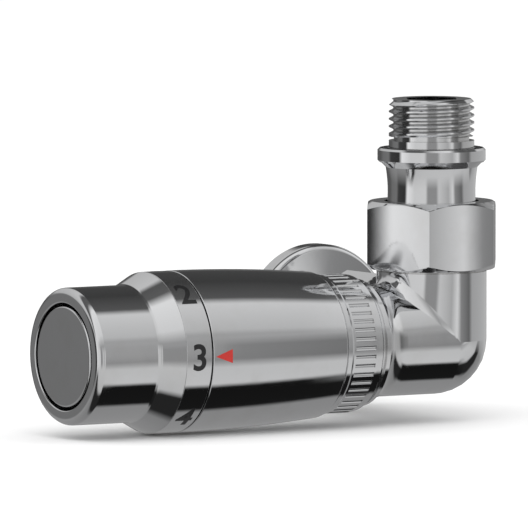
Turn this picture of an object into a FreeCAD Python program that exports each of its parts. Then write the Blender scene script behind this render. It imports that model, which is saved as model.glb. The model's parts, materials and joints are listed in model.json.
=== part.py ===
import FreeCAD, Part

import math
import os

# Corner-pattern thermostatic radiator valve, millimetres, +Z up.
#
# The origin is the centre of the tail's flange, where it meets the underside of the
# radiator. +X runs along the radiator and +Y runs to the wall. The control head lies
# along -X and the supply pipe leaves along +Y. Their two axes meet centre_drop below
# the origin.
#
# Three axes are used. A shape on the tail's axis is drawn where it stands. A shape on
# the head's axis or the pipe's axis is drawn along +Z from the meeting point, and is
# then laid along its own axis.

# ---- Driving dimensions -------------------------------------------------------------

centre_drop = 47.0             # radiator's underside to the meeting point of the axes
body_radius = 13.5             # outside of the elbow casting
port_face = 30.5               # meeting point to the face of the head's port
port_thread_radius = 15.0      # M30 thread for the head
union_thread_radius = 13.22    # G 3/4 thread for the union nut
pipe_thread_radius = 10.4775   # G 1/2 thread for the compression nut
tail_thread_radius = 10.4775   # G 1/2 thread for the radiator
thread_pitch = 1.814           # pitch of G 1/2
tail_length = 12.0             # tail above the radiator's underside
thread_lead_in = 0.8

pipe_radius = 7.6              # socket for a 15 mm pipe
pipe_stop = 14.0               # depth at which the pipe stops
pipe_port_face = 33.0          # meeting point to the mouth of the pipe port
sleeve_radius = 9.0            # outside of the chromed sleeve over the pipe
wall_distance = 55.0           # meeting point to the wall
rosette_radius = 20.0

closing_height = 11.8          # port face to the end of the closed stem
rest_lift = 1.67               # opening of the seat at the middle setting
seat_height = 5.0              # meeting point to the seat's lip
seat_radius = 5.0
stem_radius = 2.0
chamber_radius = 9.6           # bore of the body around the insert
insert_thread_radius = 9.95

barrel_start = 35.3
barrel_end = 75.0
barrel_radius = 19.75
barrel_rear_radius = 17.9
barrel_wall = 1.1
dial_start = 75.3              # a 0.3 mm seam parts the fixed barrel from the dial
dial_end = 82.5
dial_radius = 19.7             # a hair under the barrel, so that the seam hides its edge
grip_start = 88.0
grip_radius = 16.75
head_end = 105.8

guide_outer = 15.1             # four-fingered guide tube that the handwheel turns on
guide_inner = 13.2
running_gap = 0.08             # radial clearance wherever something turns or slides
hand_lead = 3.0                # travel of the sensor for one turn of the handwheel
finger_count = 4
slot_width = 4.0
drum_radius = 17.2
drum_inner = guide_outer + running_gap
closing_turn = 150.0           # degrees from the middle setting to closed
opening_turn = 100.0           # degrees from the middle setting to fully open

stem_end = port_face + closing_height + rest_lift
disc_face = seat_height + rest_lift

# ---- Placing ------------------------------------------------------------------------

meeting_point = FreeCAD.Vector(0, 0, -centre_drop)
head_placing = FreeCAD.Placement(
    meeting_point, FreeCAD.Rotation(FreeCAD.Vector(0, 1, 0), -90))
pipe_placing = FreeCAD.Placement(
    meeting_point, FreeCAD.Rotation(FreeCAD.Vector(1, 0, 0), -90))


def placed(shape, placing):
    """Return a copy of the shape, moved by the placing."""
    copy = shape.copy()
    copy.Placement = placing.multiply(shape.Placement)
    return copy


def along_head(shape):
    """Lay a shape drawn along +Z along the head's axis, -X."""
    return placed(shape, head_placing)


def along_pipe(shape):
    """Lay a shape drawn along +Z along the pipe's axis, +Y."""
    return placed(shape, pipe_placing)


# ---- Basic shapes -------------------------------------------------------------------

def at(radius, height):
    """Point in the half plane that outlines are drawn in."""
    return FreeCAD.Vector(radius, 0, height)


def turned(outline):
    """Turn a closed outline of (radius, height) corners about Z.

    A corner given as four numbers is reached by an arc: the first two are a point
    that the arc passes through and the last two are its end.
    """
    edges = []
    here = at(*outline[0])
    for corner in outline[1:] + outline[:1]:
        there = at(*corner[-2:])
        if len(corner) == 4:
            edges.append(Part.Arc(here, at(*corner[:2]), there).toShape())
        else:
            edges.append(Part.makeLine(here, there))
        here = there
    face = Part.Face(Part.Wire(edges))
    return face.revolve(FreeCAD.Vector(0, 0, 0), FreeCAD.Vector(0, 0, 1), 360)


def tube(inner, outer, start, end):
    """Plain ring between two radii and two heights."""
    return turned([(inner, start), (outer, start), (outer, end), (inner, end)])


def rod(radius, start, end):
    """Plain round bar between two heights."""
    return Part.makeCylinder(radius, end - start, FreeCAD.Vector(0, 0, start))


def hexagon(flats, start, end, first_corner=0.0):
    """Hexagonal prism, given its size across flats."""
    corner_radius = flats / math.sqrt(3)
    corners = []
    for index in range(7):
        angle = math.radians(first_corner + 60 * index)
        corners.append(FreeCAD.Vector(
            corner_radius * math.cos(angle), corner_radius * math.sin(angle), start))
    return Part.Face(Part.makePolygon(corners)).extrude(FreeCAD.Vector(0, 0, end - start))


def chamfered_hexagon(flats, start, end, first_corner=0.0):
    """Hexagonal prism with both ends turned to the usual 30 degree chamfer."""
    corner_radius = flats / math.sqrt(3)
    face_radius = 0.97 * flats / 2
    slope = (corner_radius - face_radius) * math.tan(math.radians(30))
    envelope = turned([
        (0, start), (face_radius, start), (corner_radius, start + slope),
        (corner_radius, end - slope), (face_radius, end), (0, end)])
    return hexagon(flats, start, end, first_corner).common(envelope)


def o_ring(mean_radius, section_radius, height):
    """Round-section rubber ring."""
    return Part.makeTorus(mean_radius, section_radius, FreeCAD.Vector(0, 0, height))


def coil(mean_radius, wire_radius, start, end, turns):
    """Round-wire compression spring between two heights."""
    rise = end - start - 2 * wire_radius
    spine = Part.makeHelix(rise / turns, rise, mean_radius)
    spine.translate(FreeCAD.Vector(0, 0, start + wire_radius))
    first_point = FreeCAD.Vector(mean_radius, 0, start + wire_radius)
    section = Part.Wire(Part.makeCircle(wire_radius, first_point, FreeCAD.Vector(0, 1, 0)))
    return Part.Wire(spine.Edges).makePipeShell([section], True, True)


def helical_bar(root, tip, start, end, lead, left_hand=False):
    """Thread ridge: root and tip are the (radius, width) of its two flats."""
    spine = Part.makeHelix(lead, end - start, root[0], 0, left_hand)
    spine.translate(FreeCAD.Vector(0, 0, start))
    corners = [
        at(root[0], start - root[1] / 2), at(tip[0], start - tip[1] / 2),
        at(tip[0], start + tip[1] / 2), at(root[0], start + root[1] / 2)]
    section = Part.makePolygon(corners + corners[:1])
    bar = Part.Wire(spine.Edges).makePipeShell([section], True, True)
    if bar.Volume < 0:
        bar.reverse()
    return bar


def sector(inner, outer, start, end, middle_angle, half_angle):
    """Part of a tube between two angles, in degrees."""
    corners = [at(inner, start), at(outer, start), at(outer, end), at(inner, end)]
    face = Part.Face(Part.makePolygon(corners + corners[:1]))
    axis_foot = FreeCAD.Vector(0, 0, 0)
    axis = FreeCAD.Vector(0, 0, 1)
    piece = face.revolve(axis_foot, axis, 2 * half_angle)
    piece.rotate(axis_foot, axis, middle_angle - half_angle)
    return piece


def radial_bars(width, inner, outer, start, end):
    """One flat bar for each finger slot, standing out from the axis."""
    bars = []
    for index in range(finger_count):
        bar = Part.makeBox(
            outer - inner, width, end - start, FreeCAD.Vector(inner, -width / 2, start))
        bar.rotate(
            FreeCAD.Vector(0, 0, 0), FreeCAD.Vector(0, 0, 1), 360 * index / finger_count)
        bars.append(bar)
    return bars


# ---- Valve body ---------------------------------------------------------------------

under_seat_radius = 6.0
pipe_arm_radius = 12.0
touching = 0.01                # points closer than this are taken to lie on a surface
body_top = -20.6               # flat top of the union thread
tail_bore_radius = 8.5


def valve_body():
    """Elbow casting with three ports, the seat and the water passages."""
    elbow_round = 3.0
    arm_round = 2.0
    elbow = round_edges(elbow_blank(), elbow_round, on_elbow_crease)
    casting = elbow.fuse(along_pipe(pipe_arm())).removeSplitter()
    casting = round_edges(casting, arm_round, on_pipe_arm_foot)
    body = casting.cut(passages() + [along_head(insert_bore()), along_pipe(pipe_bore())])
    return body.removeSplitter()


def elbow_blank():
    """Upright, rounded corner and head arm, without the arm towards the pipe."""
    shoulder = 9.6                # length of the union thread below the flat top
    upright_top = body_top - shoulder
    upright = rod(body_radius, -centre_drop, upright_top)
    union_thread = rod(union_thread_radius, upright_top - 1, body_top)
    corner = Part.makeSphere(body_radius, meeting_point)
    return upright.fuse([corner, union_thread, along_head(head_arm())]).removeSplitter()


def on_elbow_crease(point):
    """Whether a point lies where the upright and the head arm meet."""
    from_upright = math.hypot(point.x, point.y)
    from_head = math.hypot(point.y, point.z + centre_drop)
    return max(abs(from_upright - body_radius), abs(from_head - body_radius)) < touching


def on_pipe_arm_foot(point):
    """Whether a point lies where the pipe arm grows out of the elbow."""
    from_pipe = math.hypot(point.x, point.z + centre_drop)
    return abs(from_pipe - pipe_arm_radius) < touching and point.y < body_radius + touching


def round_edges(solid, radius, lies_there):
    """Fillet the edges that lie wholly on one joint of the casting."""
    edges = []
    for edge in solid.Edges:
        span = edge.LastParameter - edge.FirstParameter
        points = [edge.valueAt(edge.FirstParameter + share * span) for share in (0.1, 0.5, 0.9)]
        if edge.Length > touching and all(lies_there(point) for point in points):
            edges.append(edge)
    return solid.makeFillet(radius, edges)


def head_arm():
    """Arm towards the head: it flares just before the M30 thread."""
    flare_radius = 15.6
    flare_start = 15.0
    flare_end = 22.5
    thread_chamfer = 0.7
    return turned([
        (0, 0), (body_radius, 0), (body_radius, flare_start),
        (body_radius + 0.6, flare_start + 4.0, flare_radius, flare_end - 1.0),
        (flare_radius, flare_end), (port_thread_radius, flare_end),
        (port_thread_radius, port_face - thread_chamfer),
        (port_thread_radius - thread_chamfer, port_face), (0, port_face)])


def pipe_arm():
    """Arm towards the pipe: it ends in the G 1/2 thread."""
    arm_end = 22.0
    edge = 0.8
    return turned([
        (0, 0), (pipe_arm_radius, 0), (pipe_arm_radius, arm_end - edge),
        (pipe_arm_radius - edge, arm_end),
        (pipe_thread_radius, arm_end), (pipe_thread_radius, pipe_port_face - edge),
        (pipe_thread_radius - edge, pipe_port_face), (0, pipe_port_face)])


def pipe_bore():
    """Pipe socket with the cone that the olive is pressed into."""
    cone_depth = 2.0
    cone_radius = 9.2
    return turned([
        (0, pipe_stop), (pipe_radius, pipe_stop), (pipe_radius, pipe_port_face - cone_depth),
        (cone_radius, pipe_port_face), (cone_radius, pipe_port_face + 1),
        (0, pipe_port_face + 1)])


def insert_bore():
    """Chamber for the insert, with the raised lip of the seat at its inner end."""
    seat_lip_radius = 6.6
    seat_lip_rise = 1.0
    seat_wall_start = seat_height - 3
    chamber_floor = seat_height - seat_lip_rise
    port_thread_start = 20.0
    under_seat_start = -9.0
    chamber = turned([
        (0, seat_wall_start), (seat_radius, seat_wall_start), (seat_radius, seat_height),
        (seat_lip_radius, seat_height), (seat_lip_radius, chamber_floor),
        (chamber_radius, chamber_floor), (chamber_radius, port_thread_start),
        (insert_thread_radius, port_thread_start), (insert_thread_radius, port_face + 1),
        (0, port_face + 1)])
    return chamber.fuse(rod(under_seat_radius, under_seat_start, seat_wall_start))


def passages():
    """Water ways: pipe to the space under the seat, and chamber to the tail."""
    inlet_radius = 4.5
    inlet_offset = 2.6
    inlet = Part.makeCylinder(
        inlet_radius, pipe_stop + 0.5, FreeCAD.Vector(inlet_offset, 0, -centre_drop),
        FreeCAD.Vector(0, 1, 0))
    outlet_radius = 3.6
    outlet_offset = -7.0
    outlet_bottom = -41.0
    bore_bottom = -33.0
    outlet = Part.makeCylinder(
        outlet_radius, bore_bottom - outlet_bottom + 0.5,
        FreeCAD.Vector(outlet_offset, 0, outlet_bottom))
    upright_bore = rod(tail_bore_radius, bore_bottom, body_top + 1)
    return [inlet, outlet, upright_bore]


# ---- Union to the radiator ----------------------------------------------------------

flange_radius = 13.25
flange_thickness = 3.5
spigot_length = 1.8            # plain shoulder that centres the tail in the radiator
relief_end = 2.8               # the thread starts above a turned relief
tail_ring_radius = 11.65       # O-ring in the flange: mean radius and section radius
tail_ring_section = 0.82
tail_groove_depth = 1.7
collar_top = -16.6
collar_bottom = -19.1
neck_radius = 11.25
nut_bottom = -29.7
nut_top = -13.0
union_nut_flats = 31.0
union_nut_first_corner = 56.0  # one corner of the nut looks to the front left


def radiator_tail():
    """Tail with the flange, the waist and the collar that the union nut pulls on."""
    waist_radius = neck_radius - 0.5
    waist_height = (collar_top - flange_thickness) / 2
    collar_radius = 13.0
    blend = 1.2
    edge = 0.5
    relief_radius = tail_thread_radius - 1.25
    outline = [
        (0, collar_bottom), (collar_radius, collar_bottom), (collar_radius, collar_top),
        (neck_radius, collar_top),
        (waist_radius, waist_height, neck_radius, -flange_thickness - blend),
        (neck_radius + blend, -flange_thickness),
        (flange_radius - edge, -flange_thickness), (flange_radius, -flange_thickness + edge),
        (flange_radius, -edge), (flange_radius - edge, 0), (tail_thread_radius, 0),
        (tail_thread_radius, spigot_length), (relief_radius, spigot_length),
        (relief_radius, relief_end), (tail_thread_radius, relief_end),
        (tail_thread_radius, tail_length - thread_lead_in),
        (tail_thread_radius - thread_lead_in, tail_length), (0, tail_length)]
    groove_inner = tail_ring_radius - tail_ring_section - 0.03
    groove_outer = tail_ring_radius + tail_ring_section + 0.03
    groove = tube(groove_inner, groove_outer, -tail_groove_depth, 1)
    return turned(outline).cut(tail_thread_groove()).cut([groove, key_hexagon()])


def tail_thread_groove():
    """Helical groove of the G 1/2 thread. It starts in the relief and runs out at the top.

    It starts half a turn away from the seam of the tail's round faces, because a start
    that lies on the seam would leave the tail uncut.
    """
    depth = 1.1
    overshoot = 0.3
    groove_start = relief_end - 0.15
    groove = helical_bar(
        (tail_thread_radius + overshoot, 1.75), (tail_thread_radius - depth, 0.35),
        groove_start, tail_length + 2 * thread_pitch, thread_pitch)
    groove.rotate(FreeCAD.Vector(0, 0, 0), FreeCAD.Vector(0, 0, 1), 180)
    return groove


def key_hexagon():
    """Through bore: a hexagon for the fitter's key above a round bore."""
    key_flats = 12.0
    key_bottom = -8.0
    bore_radius = 7.2
    key = hexagon(key_flats, key_bottom - 1, tail_length + 1)
    return key.fuse(rod(bore_radius, collar_bottom - 1, key_bottom))


def tail_o_ring():
    """Ring in the flange's groove that seals against the radiator."""
    middle = -tail_groove_depth + tail_ring_section + 0.02
    return o_ring(tail_ring_radius, tail_ring_section, middle)


def tail_gasket():
    """Flat ring between the flat top of the body and the tail's collar."""
    gasket_radius = 12.9
    return tube(tail_bore_radius + 0.1, gasket_radius, body_top, collar_bottom)


def union_nut():
    """Hexagon nut that pulls the tail's collar down on the gasket."""
    neck_hole_radius = 11.6
    bore = rod(union_thread_radius + 0.03, nut_bottom - 1, collar_top)
    neck_hole = rod(neck_hole_radius, collar_top - 1, nut_top + 1)
    blank = chamfered_hexagon(union_nut_flats, nut_bottom, nut_top, union_nut_first_corner)
    return blank.cut([bore, neck_hole])


# ---- Pipe connection and rosette ----------------------------------------------------

nut_start = 23.5
nut_end = 40.0
sleeve_start = 37.0
olive_start = 31.2
olive_end = 36.3
olive_edge = 0.15              # blunt ends of the olive's cones
rosette_ring_place = 51.9


def compression_nut():
    """Hexagon nut that squeezes the olive on to the pipe."""
    nut_flats = 25.0
    first_corner = 30.0
    thread_radius = pipe_thread_radius + 0.03
    thread_bottom = pipe_port_face + 0.6
    cone_start = 34.4
    cone_end = 36.4
    cone_radius = 9.35
    blank = chamfered_hexagon(nut_flats, nut_start, nut_end, first_corner)
    bore = turned([
        (0, nut_start - 1), (thread_radius, nut_start - 1), (thread_radius, thread_bottom),
        (cone_radius, thread_bottom), (cone_radius, cone_start),
        (pipe_radius + olive_edge, cone_end), (pipe_radius, cone_end),
        (pipe_radius, sleeve_start), (sleeve_radius, sleeve_start),
        (sleeve_radius, nut_end + 1), (0, nut_end + 1)])
    return blank.cut(bore)


def olive():
    """Double-coned brass ring."""
    cone = 1.9
    return turned([
        (pipe_radius, olive_start), (pipe_radius + olive_edge, olive_start),
        (sleeve_radius, olive_start + cone), (sleeve_radius, olive_end - cone),
        (pipe_radius + olive_edge, olive_end), (pipe_radius, olive_end)])


def pipe_sleeve():
    """Chromed tube that covers the copper pipe between the nut and the wall."""
    wall = 0.9
    return tube(sleeve_radius - wall, sleeve_radius, sleeve_start, wall_distance)


def wall_rosette():
    """Cover plate over the hole in the wall. It slides on the sleeve."""
    skin = 1.2
    rim_front = 50.0
    rim_round = 1.6
    hub_front = 48.4
    hub_radius = 11.2
    hub_end = 54.0
    bore = sleeve_radius + running_gap
    rounding = rim_round * (1 - math.sqrt(0.5))
    edge = 0.4
    dish = 0.6
    groove_depth = 0.9
    groove_half_width = 0.9
    groove = tube(
        bore - 0.5, bore + groove_depth, rosette_ring_place - groove_half_width,
        rosette_ring_place + groove_half_width)
    cover = turned([
        (bore, hub_front), (hub_radius - edge, hub_front), (hub_radius, hub_front + edge),
        (hub_radius, rim_front - dish), (rosette_radius - rim_round, rim_front),
        (rosette_radius - rounding, rim_front + rounding,
         rosette_radius, rim_front + rim_round),
        (rosette_radius, wall_distance), (rosette_radius - skin, wall_distance),
        (rosette_radius - skin, rim_front + rim_round),
        (rosette_radius - rim_round, rim_front + skin),
        (hub_radius, rim_front + skin - dish), (hub_radius, hub_end), (bore, hub_end)])
    return cover.cut(groove)


def rosette_o_ring():
    """Ring in the rosette's hub that holds it where it is pushed."""
    section = 0.45
    return o_ring(sleeve_radius + 0.02 + section, section, rosette_ring_place)


# ---- Valve insert -------------------------------------------------------------------

insert_inner_end = 12.2
insert_ring_place = 17.5
bush_end = 14.2
spring_room_end = 26.0
spring_room_radius = 6.2
collar_position = 22.0
gland_start = 31.0
gland_radius = 4.0
hexagon_end = 36.0


def insert_housing():
    """Brass screw-in housing that guides and seals the stem."""
    skirt_radius = 8.9
    groove_radius = 7.5
    groove_start = insert_ring_place - 1.1
    groove_end = insert_ring_place + 1.1
    skirt_end = 20.4
    flange_outer = 11.2
    flange_end = 32.0
    key_flats = 19.0
    outside = turned([
        (0, insert_inner_end), (skirt_radius, insert_inner_end), (skirt_radius, groove_start),
        (groove_radius, groove_start), (groove_radius, groove_end),
        (skirt_radius, groove_end), (skirt_radius, skirt_end),
        (insert_thread_radius, skirt_end), (insert_thread_radius, port_face),
        (flange_outer, port_face), (flange_outer, flange_end), (0, flange_end)])
    key = chamfered_hexagon(key_flats, flange_end - 0.5, hexagon_end)
    spring_room = rod(spring_room_radius, insert_inner_end - 1, spring_room_end)
    stem_hole = rod(stem_radius + running_gap, spring_room_end - 1, gland_start + 1)
    gland_room = rod(gland_radius, gland_start, hexagon_end + 1)
    return outside.fuse(key).cut([spring_room, stem_hole, gland_room]).removeSplitter()


def insert_o_ring():
    """Ring that seals the insert in the chamber."""
    section = 1.0
    return o_ring(chamber_radius - section - 0.05, section, insert_ring_place)


def guide_bush():
    """Bush pressed into the inner end of the housing; the spring stands on it."""
    hole_radius = stem_radius + running_gap
    collar_radius = 4.2
    collar_end = bush_end + 0.8
    return turned([
        (hole_radius, insert_inner_end), (spring_room_radius, insert_inner_end),
        (spring_room_radius, bush_end), (collar_radius, bush_end),
        (collar_radius, collar_end), (hole_radius, collar_end)])


def gland_o_ring():
    """Ring that seals the stem, squeezed between it and the gland's wall."""
    section = (gland_radius - stem_radius - 0.04) / 2
    return o_ring(gland_radius - section, section, gland_start + section)


def gland_nut():
    """Small hexagon nut that keeps the gland's ring in place."""
    thread_bottom = 33.05
    hexagon_flats = 9.0
    top = 38.4
    thread = rod(gland_radius, thread_bottom, hexagon_end)
    head = chamfered_hexagon(hexagon_flats, hexagon_end, top)
    stem_hole = rod(stem_radius + running_gap, gland_start, top + 1)
    return thread.fuse(head).cut(stem_hole)


# ---- Stem and closing disc ----------------------------------------------------------

disc_radius = 7.0
disc_thickness = 2.2
holder_depth = 1.4             # how far the rubber disc sits inside its holder
circlip_start = collar_position + 1.2
circlip_thickness = 0.8
circlip_groove_radius = 1.6
stem_start = disc_face + disc_thickness + 0.6


def valve_stem():
    """Stainless stem with a rounded end that the plunger pushes on."""
    rounding = 0.5
    return turned([
        (0, stem_start), (stem_radius, stem_start), (stem_radius, circlip_start),
        (circlip_groove_radius, circlip_start),
        (circlip_groove_radius, circlip_start + circlip_thickness),
        (stem_radius, circlip_start + circlip_thickness), (stem_radius, stem_end - rounding),
        (stem_radius - rounding, stem_end), (0, stem_end)])


def stem_collar():
    """Washer under the circlip that the return spring pushes on."""
    collar_radius = 5.0
    return tube(stem_radius, collar_radius, collar_position, circlip_start)


def stem_circlip():
    """Open spring clip in the stem's groove."""
    clip_radius = 3.5
    mouth_width = 2.0
    ring = tube(
        circlip_groove_radius, clip_radius, circlip_start, circlip_start + circlip_thickness)
    mouth = Part.makeBox(
        clip_radius + 1, mouth_width, circlip_thickness + 2,
        FreeCAD.Vector(0, -mouth_width / 2, circlip_start - 1))
    return ring.cut(mouth)


def valve_disc():
    """Rubber disc that closes the seat."""
    return rod(disc_radius, disc_face, disc_face + disc_thickness)


def disc_holder():
    """Brass cup that carries the rubber disc on the end of the stem."""
    cup_radius = 7.7
    hub_radius = 3.6
    edge = 0.5
    cup_front = disc_face + disc_thickness - holder_depth
    cup_back = disc_face + disc_thickness + 1.0
    hub_back = cup_back + 0.6
    cup = turned([
        (0, cup_front), (cup_radius, cup_front), (cup_radius, cup_back - edge),
        (cup_radius - edge, cup_back), (hub_radius, cup_back), (hub_radius, hub_back),
        (0, hub_back)])
    disc_recess = rod(disc_radius, cup_front - 1, disc_face + disc_thickness)
    stem_socket = rod(stem_radius, stem_start, hub_back + 1)
    return cup.cut([disc_recess, stem_socket])


def return_spring():
    """Opens the valve: it pushes the stem's collar away from the bush."""
    mean_radius = 5.1
    wire_radius = 0.45
    turns = 4.5
    return coil(mean_radius, wire_radius, bush_end, collar_position, turns)


# ---- Fixed parts of the head --------------------------------------------------------

neck_outer = 13.3
neck_inner = 11.6
clip_groove_radius = 12.5
clip_start = 31.5
clip_end = 33.0
base_flange_start = 36.2
shoulder_end = 54.9
shoulder_radius = 16.8
lip_start = 73.0
lip_radius = 16.0
stop_depth = 1.9               # height of the stop block and of the handwheel's lug
lug_half_angle = 10.0
stop_gap_angle = 0.5
plunger_radius = 3.5
marker_layer_start = 67.0


def barrel_outline(offset, start, end):
    """Side of the barrel, moved inwards by the offset, as an arc between two heights."""
    fall = barrel_radius - barrel_rear_radius
    length = barrel_end - barrel_start

    def radius_at(height):
        return barrel_radius - offset - fall * ((barrel_end - height) / length) ** 2

    middle = (start + end) / 2
    return (radius_at(start), start), (radius_at(middle), middle, radius_at(end), end)


def barrel_shell():
    """Chromed cover over the fixed half of the head."""
    wall_end = barrel_start + 0.9
    rear_hole = 13.6
    edge = 0.35
    outer_first, outer_last = barrel_outline(0, barrel_start + edge, barrel_end)
    inner_last, inner_first = barrel_outline(barrel_wall, barrel_end, wall_end)
    shell = turned([
        (rear_hole, barrel_start), (outer_first[0] - edge, barrel_start), outer_first, outer_last,
        inner_last, inner_first, (rear_hole, wall_end)])
    return shell.cut(marker_prism().common(marker_layer()))


def marker_prism():
    """Arrow-shaped prism that points along the head at the dial's numbers."""
    marker_start = 69.6
    marker_end = 74.4
    half_width = 1.7
    front = FreeCAD.Vector(0, -barrel_radius - 1, 0)
    corners = [
        front + FreeCAD.Vector(-half_width, 0, marker_start),
        front + FreeCAD.Vector(half_width, 0, marker_start),
        front + FreeCAD.Vector(0, 0, marker_end)]
    face = Part.Face(Part.makePolygon(corners + corners[:1]))
    reach = 3.0
    return face.extrude(FreeCAD.Vector(0, reach, 0))


def marker_layer():
    """Thin layer of the barrel's side that the marker is let into."""
    depth = 0.45
    return tube(barrel_radius - depth, barrel_radius + 1, marker_layer_start, barrel_end)


def index_marker():
    """Red arrow let into the barrel, proud by less than a tenth of a millimetre."""
    proud = 0.04
    return marker_prism().common(
        marker_layer().common(rod(barrel_radius + proud, marker_layer_start, barrel_end)))


def head_union_ring():
    """Fluted ring nut that clamps the head to the M30 port."""
    start = 24.0
    end = 35.0
    inner_lip = 33.1
    lip_hole = 13.4
    front_radius = 16.8
    band_radius = 17.0
    band_start = 26.0
    band_end = 33.0
    back_radius = 17.3
    edge = 0.3
    bevel = 0.6
    ring = turned([
        (port_thread_radius, start), (front_radius - bevel, start),
        (front_radius, start + bevel), (front_radius, band_start), (band_radius, band_start),
        (band_radius, band_end), (back_radius, band_end + bevel), (back_radius, end - edge),
        (back_radius - edge, end), (lip_hole, end), (lip_hole, inner_lip),
        (port_thread_radius, inner_lip)])
    return ring.cut(ring_flutes(band_radius, band_start, band_end))


def ring_flutes(radius, start, end):
    """Shallow round flutes for the fingers, cut along the ring."""
    flute_count = 48
    flute_radius = 0.75
    depth = 0.3
    land = 0.6
    centre = radius + flute_radius - depth
    flutes = []
    for index in range(flute_count):
        angle = 2 * math.pi * index / flute_count
        foot = FreeCAD.Vector(centre * math.cos(angle), centre * math.sin(angle), start + land)
        flutes.append(Part.makeCylinder(flute_radius, end - start - 2 * land, foot))
    return flutes


def union_clip():
    """Open ring that keeps the ring nut on the neck of the base."""
    clip_outer = 14.6
    mouth_width = 3.0
    ring = tube(clip_groove_radius, clip_outer, clip_start, clip_end)
    mouth = Part.makeBox(
        clip_outer + 1, mouth_width, clip_end - clip_start + 2,
        FreeCAD.Vector(0, -mouth_width / 2, clip_start - 1))
    return ring.cut(mouth)


def head_base():
    """Moulded base: neck, bulkhead and the four fingers that carry the handwheel."""
    flange_end = 38.5
    shoulder_start = shoulder_end - 2 * stop_depth
    bulkhead_start = 46.0
    bulkhead_end = 48.0
    lip_end = barrel_end
    slot_start = 59.0
    hole_radius = plunger_radius + running_gap
    outside = turned([
        (neck_inner, port_face), (neck_outer, port_face), (neck_outer, clip_start),
        (clip_groove_radius, clip_start), (clip_groove_radius, clip_end), (neck_outer, clip_end),
        (neck_outer, base_flange_start), (shoulder_radius, base_flange_start),
        (shoulder_radius, flange_end), (guide_outer, flange_end), (guide_outer, shoulder_start),
        (shoulder_radius, shoulder_start), (shoulder_radius, shoulder_end - stop_depth),
        (guide_outer, shoulder_end - stop_depth), (guide_outer, lip_start),
        (lip_radius, lip_start), (lip_radius, lip_start + 0.6), (guide_outer, lip_end),
        (guide_inner, lip_end), (guide_inner, bulkhead_end), (hole_radius, bulkhead_end),
        (hole_radius, bulkhead_start), (guide_inner, bulkhead_start),
        (guide_inner, flange_end), (neck_inner, flange_end)])
    slots = radial_bars(slot_width, guide_inner - 2, lip_radius + 2, slot_start, lip_end + 1)
    return outside.cut(slots).fuse(stop_block())


def stop_block():
    """Arc on the shoulder that ends the handwheel's turn in both directions."""
    travel = closing_turn + opening_turn + 2 * lug_half_angle + 2 * stop_gap_angle
    half = (360 - travel) / 2
    middle = opening_turn + lug_half_angle + stop_gap_angle + half
    return sector(
        guide_outer - 0.4, shoulder_radius, shoulder_end - stop_depth - 0.2, shoulder_end,
        middle, half)


# ---- Handwheel ----------------------------------------------------------------------

drum_start = shoulder_end + 0.1
drum_step = 77.0
drum_end = 101.0
grip_bore = 14.8
dial_bore = 18.0
dial_seat = 82.0               # where the dial ring meets the drum's shoulder
thread_root = 16.1
thread_start = drum_start - hand_lead
thread_end = 71.5


def thread_drum():
    """Inside of the handwheel: its left-hand thread drives the sensor carrier."""
    recess_radius = lip_radius + 0.15
    recess_start = lip_start - 0.1
    recess_end = barrel_end + 0.1
    tail_inner = 13.4
    web_start = 99.0
    web_hole = 11.95
    drum = turned([
        (drum_inner, drum_start), (drum_radius, drum_start), (drum_radius, dial_seat),
        (grip_bore, dial_seat), (grip_bore, drum_end), (web_hole, drum_end),
        (web_hole, web_start), (tail_inner, web_start), (tail_inner, drum_step),
        (drum_inner, drum_step), (drum_inner, recess_end), (recess_radius, recess_end),
        (recess_radius, recess_start), (drum_inner, recess_start)])
    return drum.cut([drum_thread()] + web_vents(drum_end)).fuse(stop_lug())


def drum_thread():
    """Groove for the carrier's thread, open at the drum's inner end."""
    return helical_bar(
        (drum_inner - 0.3, 1.9), (thread_root, 1.1), thread_start, thread_end, hand_lead, True)


def web_vents(top):
    """Holes through the web, behind the ring-shaped air gap of the end cap."""
    vent_count = 12
    vent_ring = 13.25
    vent_radius = 0.8
    vents = []
    for index in range(vent_count):
        angle = 2 * math.pi * index / vent_count
        foot = FreeCAD.Vector(vent_ring * math.cos(angle), vent_ring * math.sin(angle), top - 3)
        vents.append(Part.makeCylinder(vent_radius, 4, foot))
    return vents


def stop_lug():
    """Lug on the drum's inner end that runs between the ends of the stop block."""
    lug_outer = 16.7
    return sector(
        drum_inner + 0.1, lug_outer, drum_start - stop_depth + 0.1, drum_start + 0.2, 0,
        lug_half_angle)


def dial_ring():
    """Chromed ring with the numbers."""
    edge = 0.3
    return turned([
        (drum_radius, dial_start), (dial_radius - edge, dial_start),
        (dial_radius, dial_start + edge), (dial_radius, dial_end),
        (dial_bore, dial_end), (dial_bore, dial_seat), (drum_radius, dial_seat)])


def knob_shell():
    """Chromed grip: a cone from the dial down to the cylinder, and a rounded end."""
    end_round = 2.0
    rim_hole = 13.1
    rim_thickness = 2.6
    rounding = end_round * (1 - math.sqrt(0.5))
    cone_bore = 15.2
    return turned([
        (dial_bore, dial_end), (dial_radius, dial_end), (grip_radius + 0.4, grip_start - 0.6),
        (grip_radius + 0.1, grip_start - 0.1, grip_radius, grip_start + 0.8),
        (grip_radius, head_end - end_round),
        (grip_radius - rounding, head_end - rounding, grip_radius - end_round, head_end),
        (rim_hole, head_end), (rim_hole, head_end - rim_thickness),
        (grip_bore, head_end - rim_thickness), (grip_bore, grip_start),
        (cone_bore, grip_start - 1.2)])


def end_cap():
    """Round cap in the end of the grip; the gap around it lets room air in."""
    cap_radius = 12.3
    plate = 2.2
    skirt_outer = 11.95
    skirt_inner = 10.9
    skirt_start = 98.6
    edge = 0.5
    dome = 0.1
    plate_start = head_end - plate
    return turned([
        (0, plate_start), (skirt_inner, plate_start), (skirt_inner, skirt_start),
        (skirt_outer, skirt_start), (skirt_outer, plate_start), (cap_radius, plate_start),
        (cap_radius, head_end - edge - dome), (cap_radius - edge, head_end - dome),
        (0, head_end)])


# ---- Sensor -------------------------------------------------------------------------

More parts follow.
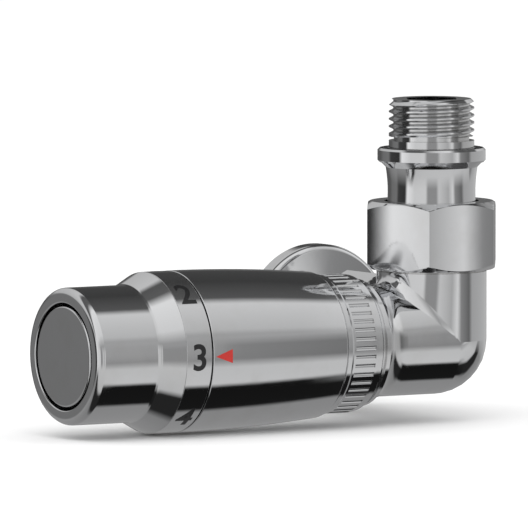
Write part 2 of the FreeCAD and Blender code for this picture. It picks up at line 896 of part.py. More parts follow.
carrier_start = 54.6
carrier_end = 91.6
carrier_outer = guide_inner - running_gap
capsule_radius = 11.05
capsule_start = 56.8
lid_end = 58.2
capsule_end = 81.0
bellows_end = 76.0
bellows_floor = bellows_end - 1.0
cap_start = 88.6


def sensor_carrier():
    """Keyed cage that carries the sensor and is moved by the handwheel's thread."""
    key_start = 63.0
    key_end = 69.5
    key_width = slot_width - 2 * running_gap
    front_hole = 9.9
    cage = turned([
        (front_hole, carrier_start), (carrier_outer, carrier_start),
        (carrier_outer, carrier_end), (capsule_radius, carrier_end),
        (capsule_radius, capsule_start), (front_hole, capsule_start)])
    keys = radial_bars(key_width, carrier_outer - 0.6, guide_outer - 0.1, key_start, key_end)
    return cage.fuse(keys + carrier_thread(key_width, key_start, key_end))


def carrier_thread(key_width, key_start, key_end):
    """Short pieces of left-hand thread on the outside of the keys."""
    ridge = helical_bar(
        (guide_outer - 0.5, 1.55), (thread_root - 0.15, 0.8), thread_start, thread_end,
        hand_lead, True)
    windows = radial_bars(key_width, guide_outer - 1, thread_root + 1, key_start, key_end)
    pieces = []
    for window in windows:
        pieces.extend(ridge.common(window).Solids)
    return pieces


def capsule_can():
    """Deep-drawn can that holds the expanding liquid."""
    wall = 0.6
    corner = 1.2
    rounding = corner * (1 - math.sqrt(0.5))
    return turned([
        (capsule_radius - wall, lid_end), (capsule_radius, lid_end),
        (capsule_radius, capsule_end - corner),
        (capsule_radius - rounding, capsule_end - rounding,
         capsule_radius - corner, capsule_end),
        (0, capsule_end), (0, capsule_end - wall),
        (capsule_radius - corner, capsule_end - wall),
        (capsule_radius - wall, capsule_end - corner)])


def capsule_lid():
    """Lid of the can, with a guide hole for the plunger."""
    return tube(plunger_radius + running_gap, capsule_radius, capsule_start, lid_end)


def bellows():
    """Corrugated cup: the liquid outside it presses the plunger out through the lid."""
    fold_count = 6
    inner = 4.6
    outer = 7.6
    wall = 0.25
    flange = 0.6
    flange_outer = outer + 1.5
    fold_inner = outer - wall - 0.15
    pitch = (bellows_floor - lid_end - flange) / fold_count
    outside = [(flange_outer, lid_end), (flange_outer, lid_end + flange)]
    inside = [(inner, lid_end)]
    for fold in range(fold_count):
        foot = lid_end + flange + fold * pitch
        outside.append((inner + wall, foot + 0.15 * pitch))
        outside.append((outer, foot + 0.5 * pitch))
        inside.append((inner, foot + 0.15 * pitch))
        inside.append((fold_inner, foot + 0.5 * pitch))
    outside.append((inner + wall, bellows_floor))
    inside.append((inner, bellows_floor))
    closed_end = [(inner + wall, bellows_end), (0, bellows_end), (0, bellows_floor)]
    return turned(outside + closed_end + inside[::-1])


def overload_spring():
    """Lets the capsule give way when the room is hot and the valve already shut."""
    mean_radius = 8.6
    wire_radius = 0.9
    turns = 3
    return coil(mean_radius, wire_radius, capsule_end, cap_start, turns)


def spring_cap():
    """Screwed plug that closes the carrier behind the overload spring."""
    cap_end = 91.2
    key_hole = 3.0
    slot_length = 16.0
    slot_width_across = 1.8
    slot_depth = 1.0
    plug = tube(key_hole, capsule_radius, cap_start, cap_end)
    driver_slot = Part.makeBox(
        slot_length, slot_width_across, slot_depth + 1,
        FreeCAD.Vector(-slot_length / 2, -slot_width_across / 2, cap_end - slot_depth))
    return plug.cut(driver_slot)


def sensor_plunger():
    """Push rod from the bellows to the valve's stem."""
    bevel = 0.6
    tip_radius = plunger_radius - bevel
    return turned([
        (0, stem_end), (tip_radius, stem_end), (plunger_radius, stem_end + bevel),
        (plunger_radius, bellows_floor - bevel), (tip_radius, bellows_floor),
        (0, bellows_floor)])


# ---- Output -------------------------------------------------------------------------

upright_parts = [valve_body, union_nut, radiator_tail, tail_o_ring, tail_gasket]
pipe_parts = [compression_nut, olive, pipe_sleeve, wall_rosette, rosette_o_ring]
head_parts = [
    insert_housing, insert_o_ring, guide_bush, gland_o_ring, gland_nut,
    valve_stem, stem_collar, stem_circlip, valve_disc, disc_holder, return_spring,
    barrel_shell, index_marker, head_union_ring, union_clip, head_base,
    thread_drum, dial_ring, knob_shell, end_cap,
    sensor_carrier, capsule_can, capsule_lid, bellows, overload_spring, spring_cap,
    sensor_plunger]


def write(shape, name):
    """Write one sub-part, after making sure that it is one sound solid."""
    solids = shape.Solids
    if len(solids) != 1 or not solids[0].isValid():
        raise ValueError(f"{name} has {len(solids)} solids or isn't valid")
    solids[0].exportStep(f"parts/{name}.step")


os.makedirs("parts", exist_ok=True)
for make in upright_parts:
    write(make(), make.__name__)
for make in pipe_parts:
    write(along_pipe(make()), make.__name__)
for make in head_parts:
    write(along_head(make()), make.__name__)
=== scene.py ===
import json
import math

import bmesh
import bpy
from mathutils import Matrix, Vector

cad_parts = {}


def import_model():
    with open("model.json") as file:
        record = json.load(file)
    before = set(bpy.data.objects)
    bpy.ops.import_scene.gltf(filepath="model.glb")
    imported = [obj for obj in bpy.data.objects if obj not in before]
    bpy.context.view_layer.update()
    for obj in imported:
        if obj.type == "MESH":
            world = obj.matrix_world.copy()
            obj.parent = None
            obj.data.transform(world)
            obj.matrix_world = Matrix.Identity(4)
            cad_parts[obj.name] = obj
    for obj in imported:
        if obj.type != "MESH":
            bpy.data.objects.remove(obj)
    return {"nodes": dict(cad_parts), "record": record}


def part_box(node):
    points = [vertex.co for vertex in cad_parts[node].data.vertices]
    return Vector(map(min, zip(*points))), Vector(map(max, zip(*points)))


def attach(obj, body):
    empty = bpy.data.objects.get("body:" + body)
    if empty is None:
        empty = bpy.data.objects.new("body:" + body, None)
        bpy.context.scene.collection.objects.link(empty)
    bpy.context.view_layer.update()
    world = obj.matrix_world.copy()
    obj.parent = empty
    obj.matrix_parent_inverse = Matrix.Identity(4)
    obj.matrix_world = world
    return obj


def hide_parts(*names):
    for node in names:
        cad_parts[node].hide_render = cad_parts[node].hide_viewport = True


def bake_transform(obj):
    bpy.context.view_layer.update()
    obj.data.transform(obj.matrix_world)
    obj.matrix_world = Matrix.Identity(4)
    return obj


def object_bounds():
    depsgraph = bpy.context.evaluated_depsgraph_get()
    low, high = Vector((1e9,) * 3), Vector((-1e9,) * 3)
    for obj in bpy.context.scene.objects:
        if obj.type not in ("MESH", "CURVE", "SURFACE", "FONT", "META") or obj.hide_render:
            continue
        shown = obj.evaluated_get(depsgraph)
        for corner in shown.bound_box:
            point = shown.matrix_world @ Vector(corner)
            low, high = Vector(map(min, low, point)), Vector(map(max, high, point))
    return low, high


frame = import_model()
cad_low, cad_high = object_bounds()

MM = 0.001
nodes = frame["nodes"]
bodies = frame["record"]["behaviour"]["bodies"]
body_of = {node: body for body, members in bodies.items() for node in members}

# ---- Places worked out from the frame -------------------------------------------------

dial_low, dial_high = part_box("dial_ring")
dial_radius = (dial_high.z - dial_low.z) / 2
dial_middle = (dial_low.x + dial_high.x) / 2
axis_height = (dial_low.z + dial_high.z) / 2
centre = (cad_low + cad_high) / 2

# The camera looks from the front left and a little from above.
camera_azimuth = math.radians(-32)
camera_elevation = math.radians(4.3)
camera_distance = 5.13
camera_back = Vector((
    math.sin(camera_azimuth) * math.cos(camera_elevation),
    -math.cos(camera_azimuth) * math.cos(camera_elevation),
    math.sin(camera_elevation)))
camera_right = Vector((math.cos(camera_azimuth), math.sin(camera_azimuth), 0))
camera_up = camera_back.cross(camera_right)


# ---- Node trees -----------------------------------------------------------------------

class Graph:
    """Adds nodes to a tree and links them, so that a material reads from top to bottom."""

    def __init__(self, tree):
        self.tree = tree
        tree.nodes.clear()

    def add(self, kind, inputs=None, **settings):
        """Add a node. An input's value is a number, a colour or another node's output."""
        node = self.tree.nodes.new(kind)
        for name, value in settings.items():
            setattr(node, name, value)
        for key, value in (inputs or {}).items():
            if isinstance(value, bpy.types.NodeSocket):
                self.tree.links.new(value, node.inputs[key])
            else:
                node.inputs[key].default_value = value
        return node

    def math(self, operation, first, second=0.0, third=0.0):
        node = self.add("ShaderNodeMath", {0: first, 1: second, 2: third}, operation=operation)
        return node.outputs[0]

    def remap(self, value, low, high, new_low, new_high):
        """Straight line from one range to another, held at its ends."""
        node = self.add("ShaderNodeMapRange", {
            "Value": value, "From Min": low, "From Max": high,
            "To Min": new_low, "To Max": new_high})
        return node.outputs["Result"]

    def noise(self, place, scale, detail=3.0, roughness=0.5):
        node = self.add("ShaderNodeTexNoise", {
            "Vector": place, "Scale": scale, "Detail": detail, "Roughness": roughness})
        return node.outputs["Fac"]

    def ramp(self, value, stops):
        """Colour ramp with grey stops, each a (position, brightness)."""
        node = self.add("ShaderNodeValToRGB", {"Fac": value})
        elements = node.color_ramp.elements
        elements[0].position, elements[0].color = stops[0][0], (stops[0][1],) * 3 + (1,)
        elements[1].position, elements[1].color = stops[-1][0], (stops[-1][1],) * 3 + (1,)
        for position, brightness in stops[1:-1]:
            elements.new(position).color = (brightness,) * 3 + (1,)
        return node.outputs["Color"]

    def mix(self, share, first, second):
        """Colour mix: share 0 gives the first colour and 1 gives the second."""
        node = self.add("ShaderNodeMix", data_type="RGBA")
        sockets = {"Factor": share, "A": first, "B": second}
        for socket in node.inputs:
            if socket.name in sockets and socket.enabled:
                value = sockets[socket.name]
                if isinstance(value, bpy.types.NodeSocket):
                    self.tree.links.new(value, socket)
                else:
                    socket.default_value = value
        return [s for s in node.outputs if s.enabled][0]

    def bump(self, height, strength, distance, normal=None):
        inputs = {"Height": height, "Strength": strength, "Distance": distance}
        if normal is not None:
            inputs["Normal"] = normal
        return self.add("ShaderNodeBump", inputs).outputs["Normal"]


def grey(value):
    return (value, value, value, 1)


def new_material(name):
    """An empty material with its node graph and object coordinates in metres."""
    material = bpy.data.materials.new(name)
    material.use_nodes = True
    graph = Graph(material.node_tree)
    place = graph.add("ShaderNodeTexCoord").outputs["Object"]
    return material, graph, place


def finish_material(graph, **inputs):
    """Close a material with one Principled shader."""
    named = {key.replace("_", " "): value for key, value in inputs.items()}
    shader = graph.add("ShaderNodeBsdfPrincipled", named)
    graph.add("ShaderNodeOutputMaterial", {"Surface": shader.outputs["BSDF"]})


# ---- Materials ------------------------------------------------------------------------

def crevice(graph, reach):
    """1 in the open, falling to 0 deep in a seam."""
    node = graph.add("ShaderNodeAmbientOcclusion", {"Distance": reach}, samples=6)
    return node.outputs["AO"]


def crowned_normal(graph, place, axis):
    """Normal of facets that buffing has left slightly round about an axis.

    The axis is a point on it and its direction, which is one of the frame's axes.
    """
    foot, along = axis
    across = Vector((1, 1, 1)) - along
    crown = 0.24
    facing = graph.add("ShaderNodeNewGeometry").outputs["Normal"]
    outward = graph.add(
        "ShaderNodeVectorMath", {0: place, 1: across, 2: -foot * across},
        operation="MULTIPLY_ADD").outputs["Vector"]
    outward = graph.add("ShaderNodeVectorMath", {0: outward}, operation="NORMALIZE").outputs[0]
    lean = graph.add(
        "ShaderNodeVectorMath", {0: facing, 1: along}, operation="DOT_PRODUCT").outputs["Value"]
    share = graph.math(
        "MULTIPLY", graph.math("SUBTRACT", 1.0, graph.math("ABSOLUTE", lean)), crown)
    added = graph.add(
        "ShaderNodeVectorMath", {0: outward, "Scale": share}, operation="SCALE").outputs[0]
    total = graph.add("ShaderNodeVectorMath", {0: facing, 1: added}, operation="ADD").outputs[0]
    return graph.add("ShaderNodeVectorMath", {0: total}, operation="NORMALIZE").outputs[0]


def chrome(name, crowned_about=None):
    """Polished chrome plate: faint orange peel, handling smudges, and dust with painted shade that
    darkens the seams.
    """
    clean = (0.80, 0.805, 0.815, 1)
    smudged = (0.765, 0.765, 0.765, 1)
    # Dark brown for the seams: partly dust, partly painted shade.
    dust_and_shade_colour = (0.30, 0.29, 0.27, 1)
    hairline_scale = (250, 5200, 5200)
    seam_width = 1.2 * MM
    material, g, place = new_material(name)
    base_normal = None
    if crowned_about is not None:
        base_normal = crowned_normal(g, place, crowned_about)
    smudges = g.remap(g.noise(place, 70, 5, 0.6), 0.50, 0.72, 0.0, 1.0)
    stretched = g.add("ShaderNodeMapping", {"Vector": place, "Scale": hairline_scale}).outputs[0]
    hairlines = g.noise(stretched, 1.0, 2)
    # Ambient occlusion darkens the seams towards the dark brown: partly dust, partly painted shade
    # where the seams fall into shadow.
    dust_and_shade_share = g.remap(crevice(g, seam_width), 0.15, 0.62, 1.0, 0.0)
    colour = g.mix(dust_and_shade_share, g.mix(smudges, clean, smudged), dust_and_shade_colour)
    roughness = g.math("MULTIPLY_ADD", smudges, 0.075, 0.045)
    roughness = g.math("MULTIPLY_ADD", hairlines, 0.03, roughness)
    roughness = g.math("MULTIPLY_ADD", dust_and_shade_share, 0.22, roughness)
    peel = g.bump(g.noise(place, 160, 2), 0.10, 0.10 * MM, base_normal)
    normal = g.bump(hairlines, 0.03, 0.01 * MM, peel)
    finish_material(
        g, Base_Color=colour, Metallic=1.0, Roughness=roughness, Normal=normal)
    return material


def turned_metal(name, light, dark):
    """Machined metal with the fine rings that a lathe leaves, all across the X axis."""
    ring_scale = (9000, 300, 300)
    material, g, place = new_material(name)
    stretched = g.add("ShaderNodeMapping", {"Vector": place, "Scale": ring_scale}).outputs[0]
    rings = g.noise(stretched, 1.0, 3)
    tarnish = g.remap(g.noise(place, 260, 6, 0.6), 0.42, 0.70, 0.0, 1.0)
    colour = g.mix(tarnish, light, dark)
    roughness = g.math("MULTIPLY_ADD", tarnish, 0.16, 0.20)
    normal = g.bump(rings, 0.25, 0.02 * MM)
    finish_material(
        g, Base_Color=colour, Metallic=1.0, Roughness=roughness, Normal=normal)
    return material


def rubber(name, colour, paler):
    """Moulded rubber: matte, with a powdery bloom."""
    material, g, place = new_material(name)
    bloom = g.remap(g.noise(place, 500, 5, 0.65), 0.45, 0.75, 0.0, 1.0)
    grain = g.noise(place, 6000, 2)
    mixed = g.mix(bloom, colour, paler)
    roughness = g.math("MULTIPLY_ADD", bloom, 0.15, 0.62)
    finish_material(
        g, Base_Color=mixed, Roughness=roughness, Normal=g.bump(grain, 0.3, 0.03 * MM))
    return material


def plastic(name, colour, gloss, grain_strength):
    """Moulded plastic with a fine spark-eroded grain and slight colour drift."""
    material, g, place = new_material(name)
    drift = g.noise(place, 90, 4)
    darker = tuple(channel * 0.82 for channel in colour[:3]) + (1,)
    mixed = g.mix(g.remap(drift, 0.35, 0.65, 0.0, 1.0), colour, darker)
    grain = g.noise(place, 3500, 3)
    roughness = g.math("MULTIPLY_ADD", grain, 0.18, gloss)
    finish_material(
        g, Base_Color=mixed, Roughness=roughness,
        Normal=g.bump(grain, grain_strength, 0.03 * MM))
    return material


def enamel(name, colour, worn):
    """Paint filled into metal: slightly uneven, with a few worn specks."""
    material, g, place = new_material(name)
    specks = g.remap(g.noise(place, 2200, 4, 0.7), 0.66, 0.74, 0.0, 1.0)
    shade = g.mix(g.noise(place, 600, 3), colour, tuple(c * 0.7 for c in colour[:3]) + (1,))
    mixed = g.mix(specks, shade, worn)
    roughness = g.math("MULTIPLY_ADD", specks, 0.2, 0.34)
    finish_material(
        g, Base_Color=mixed, Roughness=roughness,
        Normal=g.bump(g.noise(place, 1800, 2), 0.2, 0.02 * MM))
    return material


slot_materials = {
    "chrome": chrome("chrome_plate"),
    "raw_brass": turned_metal("turned_brass", (0.78, 0.58, 0.27, 1), (0.52, 0.36, 0.15, 1)),
    "stainless": turned_metal("stainless", (0.66, 0.66, 0.66, 1), (0.50, 0.50, 0.50, 1)),
    "black_rubber": rubber("black_rubber", (0.018, 0.018, 0.019, 1), (0.05, 0.05, 0.052, 1)),
    "fibre_gasket": rubber("fibre_gasket", (0.28, 0.07, 0.045, 1), (0.38, 0.13, 0.09, 1)),
    "dark_plastic": plastic("dark_plastic", (0.035, 0.035, 0.038, 1), 0.42, 0.25),
    "grey_plastic": plastic("grey_plastic", (0.46, 0.47, 0.47, 1), 0.38, 0.2),
    "white_plastic": plastic("white_plastic", (0.78, 0.78, 0.75, 1), 0.25, 0.1),
    "sensor_can": turned_metal("drawn_aluminium", (0.80, 0.80, 0.81, 1), (0.66, 0.66, 0.67, 1)),
    "red_marker": enamel("red_enamel", (0.55, 0.025, 0.018, 1), (0.25, 0.02, 0.015, 1)),
}
black_enamel = enamel("black_enamel", (0.012, 0.012, 0.013, 1), (0.10, 0.10, 0.10, 1))


def dress_cad_nodes():
    """Give every CAD node the material of its slot, and the nuts chrome with round facets."""
    for subpart in frame["record"]["subparts"]:
        piece = nodes[subpart["node"]]
        for material_slot in piece.material_slots:
            material_slot.link = "OBJECT"
            material_slot.material = slot_materials[subpart["material_slot"]]
    nut_axes = {
        "union_nut": (Vector((0, 0, 0)), Vector((0, 0, 1))),
        "compression_nut": (Vector((0, 0, axis_height)), Vector((0, 1, 0)))}
    for nut, axis in nut_axes.items():
        nodes[nut].material_slots[0].material = chrome(nut + "_chrome", axis)


def soften_edges(node, width):
    """Round a CAD node's edges slightly, as polishing does, without touching its mesh."""
    piece = nodes[node]
    weld = piece.modifiers.new("join_faces", "WELD")
    weld.merge_threshold = 0.0005 * MM
    bevel = piece.modifiers.new("soft_edges", "BEVEL")
    bevel.width = width
    bevel.segments = 2
    bevel.limit_method = "ANGLE"
    bevel.angle_limit = math.radians(24)
    piece.modifiers.new("even_normals", "WEIGHTED_NORMAL")


# ---- Polished round pieces ------------------------------------------------------------

# The mirror finish shows every facet, so the large round pieces are turned again here,
# finely and with rounded edges, on the same dimensions as their CAD solids.

head_axis = (Vector((0, 0, axis_height)), Vector((-1, 0, 0)), Vector((0, -1, 0)), Vector((0, 0, 1)))
pipe_axis = (Vector((0, 0, axis_height)), Vector((0, 1, 0)), Vector((1, 0, 0)), Vector((0, 0, -1)))


def profile_points(corners):
    """Turn (radius, height, rounding) corners into points with their own normals.

    The corners run round the section with the material on the left. A corner without
    rounding is a sample of a smooth curve. Everything is in millimetres.
    """
    places = [Vector(corner[:2]) for corner in corners]
    points = []
    for index, (place, corner) in enumerate(zip(places, corners)):
        arriving = (place - places[index - 1]).normalized()
        leaving = (places[(index + 1) % len(places)] - place).normalized()
        normal_in = Vector((arriving.y, -arriving.x))
        normal_out = Vector((leaving.y, -leaving.x))
        if corner[2] == 0:
            points.append((place, (normal_in + normal_out).normalized()))
            continue
        turn = arriving.angle_signed(leaving)
        cut = corner[2] * math.tan(abs(turn) / 2)
        steps = max(2, math.ceil(abs(turn) / math.radians(15)))
        start = place - arriving * cut
        bulge = 1 if arriving.x * leaving.y > arriving.y * leaving.x else -1
        middle = start - normal_in * corner[2] * bulge
        for step in range(steps + 1):
            normal = normal_in.slerp(normal_out, step / steps)
            points.append((middle + normal * corner[2] * bulge, normal))
    return points


def turned_piece(name, corners, axis, node, pole_ends=False):
    """Solid of revolution that stands for a CAD node, with exact normals."""
    segment_count = 224
    foot, along, first, second = axis
    points = profile_points(corners)
    vertices, normals, rings = [], [], []
    for place, normal in points:
        ring = []
        pole = place.x < 0.001
        for segment in range(1 if pole else segment_count):
            turn = 2 * math.pi * segment / segment_count
            outward = first * math.cos(turn) + second * math.sin(turn)
            ring.append(len(vertices))
            vertices.append(foot + (along * place.y + outward * place.x) * MM)
            if pole:
                normals.append(along if normal.y > 0 else -along)
            else:
                normals.append((along * normal.y + outward * normal.x).normalized())
        rings.append(ring)
    pairs = list(zip(rings, rings[1:]))
    if not pole_ends:
        pairs.append((rings[-1], rings[0]))
    faces = []
    for lower, upper in pairs:
        for segment in range(segment_count):
            after = (segment + 1) % segment_count
            if len(lower) == 1:
                faces.append((lower[0], upper[after], upper[segment]))
            elif len(upper) == 1:
                faces.append((lower[segment], lower[after], upper[0]))
            else:
                faces.append((lower[segment], lower[after], upper[after], upper[segment]))
    mesh = bpy.data.meshes.new(name)
    mesh.from_pydata(vertices, [], faces)
    mesh.shade_smooth()
    mesh.normals_split_custom_set_from_vertices(normals)
    mesh.materials.append(slot_materials["chrome"])
    piece = bpy.data.objects.new(name, mesh)
    bpy.context.scene.collection.objects.link(piece)
    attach(piece, body_of[node])
    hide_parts(node)


def span_along(node, axis):
    """Where a node starts and ends along an axis, in millimetres."""
    low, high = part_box(node)
    ends = sorted(((low - axis[0]).dot(axis[1]), (high - axis[0]).dot(axis[1])))
    return ends[0] / MM, ends[1] / MM


def turned_barrel():
    start, end = span_along("barrel_shell", head_axis)
    radius = 19.75
    fall = 1.85
    wall = 1.1
    rear_hole = 13.6
    rear_wall = 0.9
    samples = 28
    edge = 0.2
    outer, inner = [], []
    for sample in range(1, samples):
        height = start + (end - start) * sample / samples
        bulge = radius - fall * ((end - height) / (end - start)) ** 2
        outer.append((bulge, height, 0))
        if height > start + 2 * rear_wall:
            inner.append((bulge - wall, height, 0))
    corners = [(rear_hole, start, edge), (radius - fall, start, 2 * edge)] + outer
    corners += [(radius, end, edge), (radius - wall, end, edge)] + inner[::-1]
    corners += [(radius - fall - wall, start + rear_wall, edge)]
    corners += [(rear_hole, start + rear_wall, edge)]
    turned_piece("barrel_turned", corners, head_axis, "barrel_shell")


def turned_dial():
    start, end = span_along("dial_ring", head_axis)
    radius = dial_radius / MM
    bore = 17.2
    rebate = 18.0
    rebate_floor = end - 0.5
    edge = 0.1
    turned_piece("dial_turned", [
        (bore, start, edge), (radius, start, 3 * edge), (radius, end, edge), (rebate, end, edge),
        (rebate, rebate_floor, edge / 2), (bore, rebate_floor, edge)], head_axis, "dial_ring")


def turned_knob():
    start, end = span_along("knob_shell", head_axis)
    radius = dial_radius / MM
    mouth = 18.0
    grip = 16.75
    rim_hole = 13.1
    lining = 14.8
    lining_step = 15.2
    shoulder_foot = start + 5.45
    rim_back = end - 2.6
    edge = 0.1
    turned_piece("knob_turned", [
        (mouth, start, edge), (radius, start, edge), (grip + edge, shoulder_foot, 1.6),
        (grip, shoulder_foot + 0.95, 3.0), (grip, end, 1.9), (rim_hole, end, 0.35),
        (rim_hole, rim_back, edge), (lining, rim_back, edge), (lining, start + 5.5, edge),
        (lining_step, start + 4.3, edge)], head_axis, "knob_shell")


def turned_cap():
    start, end = span_along("end_cap", head_axis)
    radius = 12.3
    skirt_outer = 11.95
    skirt_inner = 10.9
    plate = end - 2.2
    rim = end - 0.1
    edge = 0.15
    fine_edge = 0.05
    turned_piece("cap_turned", [
        (0, plate, 0), (skirt_inner, plate, edge), (skirt_inner, start, edge),
        (skirt_outer, start, edge), (skirt_outer, plate, fine_edge), (radius, plate, fine_edge),
        (radius, rim, 0.5), (0, end, 0)], head_axis, "end_cap", pole_ends=True)


def turned_rosette():
    start, end = span_along("wall_rosette", pipe_axis)
    radius = 20.0
    skin = 1.2
    bore = 9.08
    groove = 9.98
    hub = 11.2
    face = start + 1.6
    cone = 0.6
    hub_end = end - 1
    groove_low = start + 2.6
    groove_high = start + 4.4
    edge = 0.1
    turned_piece("rosette_turned", [
        (bore, start, edge), (hub, start, 4 * edge), (hub, face - cone, 3 * edge),
        (radius, face + edge, 1.6), (radius, end, edge), (radius - skin, end, edge),
        (radius - skin, face + skin, 0.8), (hub, face + skin - cone, 3 * edge),
        (hub, hub_end, edge), (bore, hub_end, edge), (bore, groove_high, edge),
        (groove, groove_high, edge), (groove, groove_low, edge), (bore, groove_low, edge)],
        pipe_axis, "wall_rosette")


# ---- Return spring --------------------------------------------------------------------

def pressed_spring():
    """Return spring, pressed a little shorter than the CAD spring; in the valve it shortens as the
    sensor comes forward.

    It is a little shorter than its room at rest, which leaves space for the stem's own
    thermal stroke.
    """
    spare = 0.43 * MM
    low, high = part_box("return_spring")
    mesh = nodes["return_spring"].data.copy()
    share = 1 - spare / (high.x - low.x)
    for vertex in mesh.vertices:
        vertex.co.x = high.x + (vertex.co.x - high.x) * share
    piece = bpy.data.objects.new("return_spring_pressed", mesh)
    bpy.context.scene.collection.objects.link(piece)
    mesh.materials.clear()
    mesh.materials.append(slot_materials["stainless"])
    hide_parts("return_spring")
    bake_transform(piece)


# ---- Numbers on the dial --------------------------------------------------------------

def flat_text(body, height, weight, thickness):
    """Mesh of one short text, centred on the origin and as tall as asked."""
    curve = bpy.data.curves.new("text", "FONT")
    curve.body = body
    curve.size = height
    curve.offset = weight
    curve.extrude = thickness / 2
    curve.resolution_u = 6
    holder = bpy.data.objects.new("text", curve)
    bpy.context.scene.collection.objects.link(holder)
    evaluated = holder.evaluated_get(bpy.context.evaluated_depsgraph_get())
    mesh = bpy.data.meshes.new_from_object(evaluated)
    bpy.data.objects.remove(holder)
    corners = [v.co.copy() for v in mesh.vertices]
    low = Vector([min(c[i] for c in corners) for i in range(3)])
    high = Vector([max(c[i] for c in corners) for i in range(3)])
    scale = height / (high.y - low.y)
    for vertex in mesh.vertices:
        vertex.co.x = (vertex.co.x - (low.x + high.x) / 2) * scale
        vertex.co.y = (vertex.co.y - (low.y + high.y) / 2) * scale
    return mesh


def frost_sign(height, thickness):
    """Mesh of a six-armed star, the usual sign of the frost setting."""
    arm_length = height / 2
    stroke_share = 0.14
    half_width = height * stroke_share / 2
    notch = half_width / math.sin(math.radians(30))
    outline = []
    for arm in range(6):
        along = math.radians(90 + 60 * arm)
        forward = Vector((math.cos(along), math.sin(along), 0))
        sideways = Vector((-forward.y, forward.x, 0))
        outline.append(forward * arm_length - sideways * half_width)
        outline.append(forward * arm_length + sideways * half_width)
        between = along + math.radians(30)
        outline.append(Vector((math.cos(between), math.sin(between), 0)) * notch)
    star = bmesh.new()
    face = star.faces.new([star.verts.new(corner) for corner in outline])
    grown = bmesh.ops.extrude_face_region(star, geom=[face])["geom"]
    lifted = [item for item in grown if isinstance(item, bmesh.types.BMVert)]
    bmesh.ops.translate(star, verts=lifted, vec=(0, 0, thickness))
    bmesh.ops.recalc_face_normals(star, faces=star.faces)
    mesh = bpy.data.meshes.new("frost_sign")
    star.to_mesh(mesh)
    star.free()
    return mesh


def sliced(mesh, step):
    """Cut a flat mesh into strips across its height, so that it can be bent."""
    strips = bmesh.new()
    strips.from_mesh(mesh)
    bmesh.ops.remove_doubles(strips, verts=strips.verts, dist=0.002 * MM)
    top = max(v.co.y for v in strips.verts)
    level = -top + step
    while level < top:
        everything = strips.verts[:] + strips.edges[:] + strips.faces[:]
        bmesh.ops.bisect_plane(
            strips, geom=everything, plane_co=(0, level, 0), plane_no=(0, 1, 0))
        level += step
    bmesh.ops.triangulate(strips, faces=strips.faces)
    strips.to_mesh(mesh)
    strips.free()


def wrap_on_dial(mesh, angle, along, proud):
    """Bend a flat mesh round the dial, its middle at an angle above the front."""
    surface = dial_radius + proud - max(v.co.z for v in mesh.vertices)
    for vertex in mesh.vertices:
        turn = angle + vertex.co.y / dial_radius
        radius = surface + vertex.co.z
        vertex.co = (
            along + vertex.co.x, -radius * math.cos(turn), axis_height + radius * math.sin(turn))


def dial_mark(name, mesh, degrees):
    """One number or sign of the dial, filled with enamel and just proud of the ring."""
    sliced(mesh, 0.45 * MM)
    wrap_on_dial(mesh, math.radians(degrees), dial_middle, 0.03 * MM)
    mesh.materials.append(black_enamel)
    piece = bpy.data.objects.new(name, mesh)
    bpy.context.scene.collection.objects.link(piece)
    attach(piece, "handwheel")


def dial_numbers():
    """The middle setting faces the marker at rest; higher numbers lie below it."""
    depth = 0.25 * MM
    number_height = 6.6 * MM
    stroke_weight = 0.14 * MM
    star_height = 5.2 * MM
    step = 50
    for number in range(6):
        shape = flat_text(str(number), number_height, stroke_weight, depth)
        dial_mark(f"dial_number_{number}", shape, step * (3 - number))
    dial_mark("dial_frost_sign", frost_sign(star_height, depth), step * 2.5)


# ---- Stage ----------------------------------------------------------------------------

room_light = 1.07
floor_tone = 0.94
far_floor = room_light * floor_tone


def by_degrees(cards):
    """Ramp stops from (degrees, brightness) pairs."""
    return [((degrees + 180) / 360, brightness) for degrees, brightness in cards]


def studio_reflection(g, direction):
    """What polished metal sees: white and black cards round a photo table.

    Near the horizon the cards stand round the object. Above and below it they run along
    the head, like strip lights and the black edge of the table. The round head and the arm
    behind it keep a ray's X, so what they show has one X and gets its own set of strips.
    """
    horizon_cards = [
        (-180, 0.10), (-140, 0.10), (-126, 0.17), (-106, 0.19), (-98, 0.05), (-74, 0.035),
        (-67, 0.90), (-46, 0.68), (-16, 0.70), (-10, 0.30), (12, 0.30), (19, 0.62),
        (45, 0.44), (58, 0.74), (65, 0.26), (86, 0.14), (95, 0.40), (160, 0.52), (180, 0.12)]
    strip_cards = [
        (-180, 0.32), (-94, 0.28), (-87, 0.010), (-51, 0.008), (-45, 0.62), (-12, 0.58),
        (-6, 0.42), (26, 0.40), (33, 0.54), (74, 0.68), (84, 0.10), (120, 0.05), (180, 0.07)]
    side_cards = [
        (-180, 0.34), (-104, 0.24), (-92, 0.02), (-62, 0.02), (-54, 0.55), (-12, 0.62),
        (18, 0.36), (36, 0.72), (80, 0.85), (94, 0.12), (112, 0.10), (120, 0.62),
        (162, 0.50), (172, 0.16), (180, 0.34)]
    axes = g.add("ShaderNodeSeparateXYZ", {0: direction})
    x, y, z = axes.outputs
    right = g.add(
        "ShaderNodeVectorMath", {0: direction, 1: camera_right}, operation="DOT_PRODUCT")
    back = g.add(
        "ShaderNodeVectorMath", {0: direction, 1: camera_back}, operation="DOT_PRODUCT")
    around = g.math("ARCTAN2", right.outputs["Value"], back.outputs["Value"])
    over = g.math("ARCTAN2", z, g.math("MULTIPLY", y, -1.0))
    turn_share = g.math("MULTIPLY_ADD", around, 1 / (2 * math.pi), 0.5)
    over_share = g.math("MULTIPLY_ADD", over, 1 / (2 * math.pi), 0.5)
    horizon = g.ramp(turn_share, by_degrees(horizon_cards))
    strips = g.ramp(over_share, by_degrees(strip_cards))
    sides = g.ramp(over_share, by_degrees(side_cards))
    head_x = -camera_back.x
    off_head = g.remap(
        g.math("ABSOLUTE", g.math("SUBTRACT", x, head_x)), 0.10, 0.22, 0.0, 1.0)
    vertical = g.mix(off_head, strips, sides)
    lift = g.remap(g.math("ABSOLUTE", z), 0.14, 0.30, 0.0, 1.0)
    return g.mix(lift, horizon, vertical)


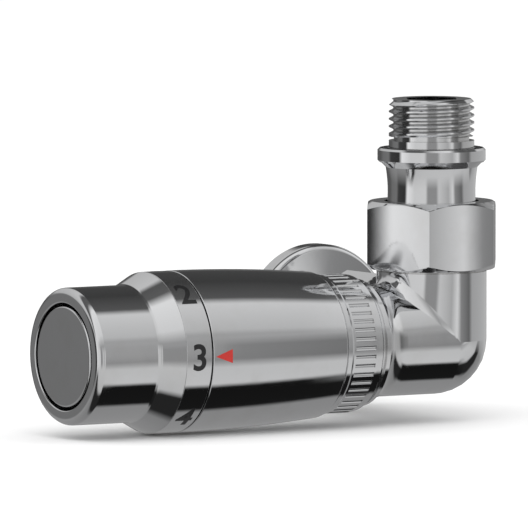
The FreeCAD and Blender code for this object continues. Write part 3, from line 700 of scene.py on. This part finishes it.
def world():
    """Pale room for the eye and for soft light, and the studio cards for reflections."""
    scene_world = bpy.data.worlds.new("studio")
    bpy.context.scene.world = scene_world
    scene_world.use_nodes = True
    g = Graph(scene_world.node_tree)
    direction = g.add("ShaderNodeTexCoord").outputs["Generated"]
    reflection = studio_reflection(g, direction)
    rays = g.add("ShaderNodeLightPath").outputs
    height = g.add("ShaderNodeSeparateXYZ", {0: direction}).outputs[2]
    backdrop = g.ramp(g.remap(height, 0.0, 0.35, 0.0, 1.0), [(0.0, far_floor), (1.0, 1.0)])
    soft = g.mix(rays["Is Camera Ray"], grey(room_light), backdrop)
    colour = g.mix(rays["Is Glossy Ray"], soft, reflection)
    background = g.add("ShaderNodeBackground", {"Color": colour, "Strength": 1.0})
    g.add("ShaderNodeOutputWorld", {"Surface": background.outputs[0]})


def floor():
    """Plain pale floor under the object's lowest point."""
    half = 120.0
    mottle = 0.01
    level = cad_low.z - 0.2 * MM
    mesh = bpy.data.meshes.new("floor")
    mesh.from_pydata(
        [(-half, -half, level), (half, -half, level), (half, half, level), (-half, half, level)],
        [], [(0, 1, 2, 3)])
    material, g, place = new_material("pale_floor")
    tone = g.remap(g.noise(place, 9, 4), 0.3, 0.7, floor_tone - mottle, floor_tone + mottle)
    finish_material(g, Base_Color=tone, Roughness=0.9, Specular_IOR_Level=0.0)
    mesh.materials.append(material)
    plate = bpy.data.objects.new("floor", mesh)
    bpy.context.scene.collection.objects.link(plate)
    plate.visible_glossy = False


def soft_light(name, direction, distance, size, power):
    """Square soft light aimed at the object. Metal shows the studio cards instead."""
    light = bpy.data.lights.new(name, "AREA")
    light.shape = "SQUARE"
    light.size = size
    light.energy = power
    lamp = bpy.data.objects.new(name, light)
    lamp.location = centre + Vector(direction).normalized() * distance
    lamp.rotation_mode = "QUATERNION"
    lamp.rotation_quaternion = (centre - lamp.location).to_track_quat("-Z", "Y")
    lamp.visible_camera = False
    lamp.visible_glossy = False
    bpy.context.scene.collection.objects.link(lamp)


def seen_span(direction):
    """Middle and width of the whole object along one direction."""
    places = [
        vertex.co.dot(direction) for piece in nodes.values() for vertex in piece.data.vertices]
    return (min(places) + max(places)) / 2, max(places) - min(places)


def camera():
    """Long lens from far away, so that the object's verticals stay upright."""
    fill = 0.88
    sensor = 36.0
    lens_data = bpy.data.cameras.new("camera")
    eye = bpy.data.objects.new("camera", lens_data)
    bpy.context.scene.collection.objects.link(eye)
    across, width = seen_span(camera_right)
    up, height = seen_span(camera_up)
    depth = centre.dot(camera_back)
    eye.location = (
        camera_right * across + camera_up * up + camera_back * (depth + camera_distance))
    eye.rotation_mode = "QUATERNION"
    eye.rotation_quaternion = camera_back.to_track_quat("Z", "Y")
    lens_data.sensor_width = sensor
    lens_data.lens = sensor * camera_distance * fill / max(width, height)
    lens_data.clip_start = 0.1
    lens_data.clip_end = 400.0
    bpy.context.scene.camera = eye


dress_cad_nodes()
for nut in ("union_nut", "compression_nut"):
    soften_edges(nut, 0.2 * MM)
turned_barrel()
turned_dial()
turned_knob()
turned_cap()
turned_rosette()
pressed_spring()
dial_numbers()
world()
floor()
soft_light("key", direction=(-0.5, -0.6, 1.0), distance=1.2, size=0.9, power=3.0)
soft_light("fill", direction=(0.9, -0.3, 0.6), distance=1.4, size=0.8, power=1.2)
camera()
bpy.context.scene.view_settings.view_transform = "Standard"
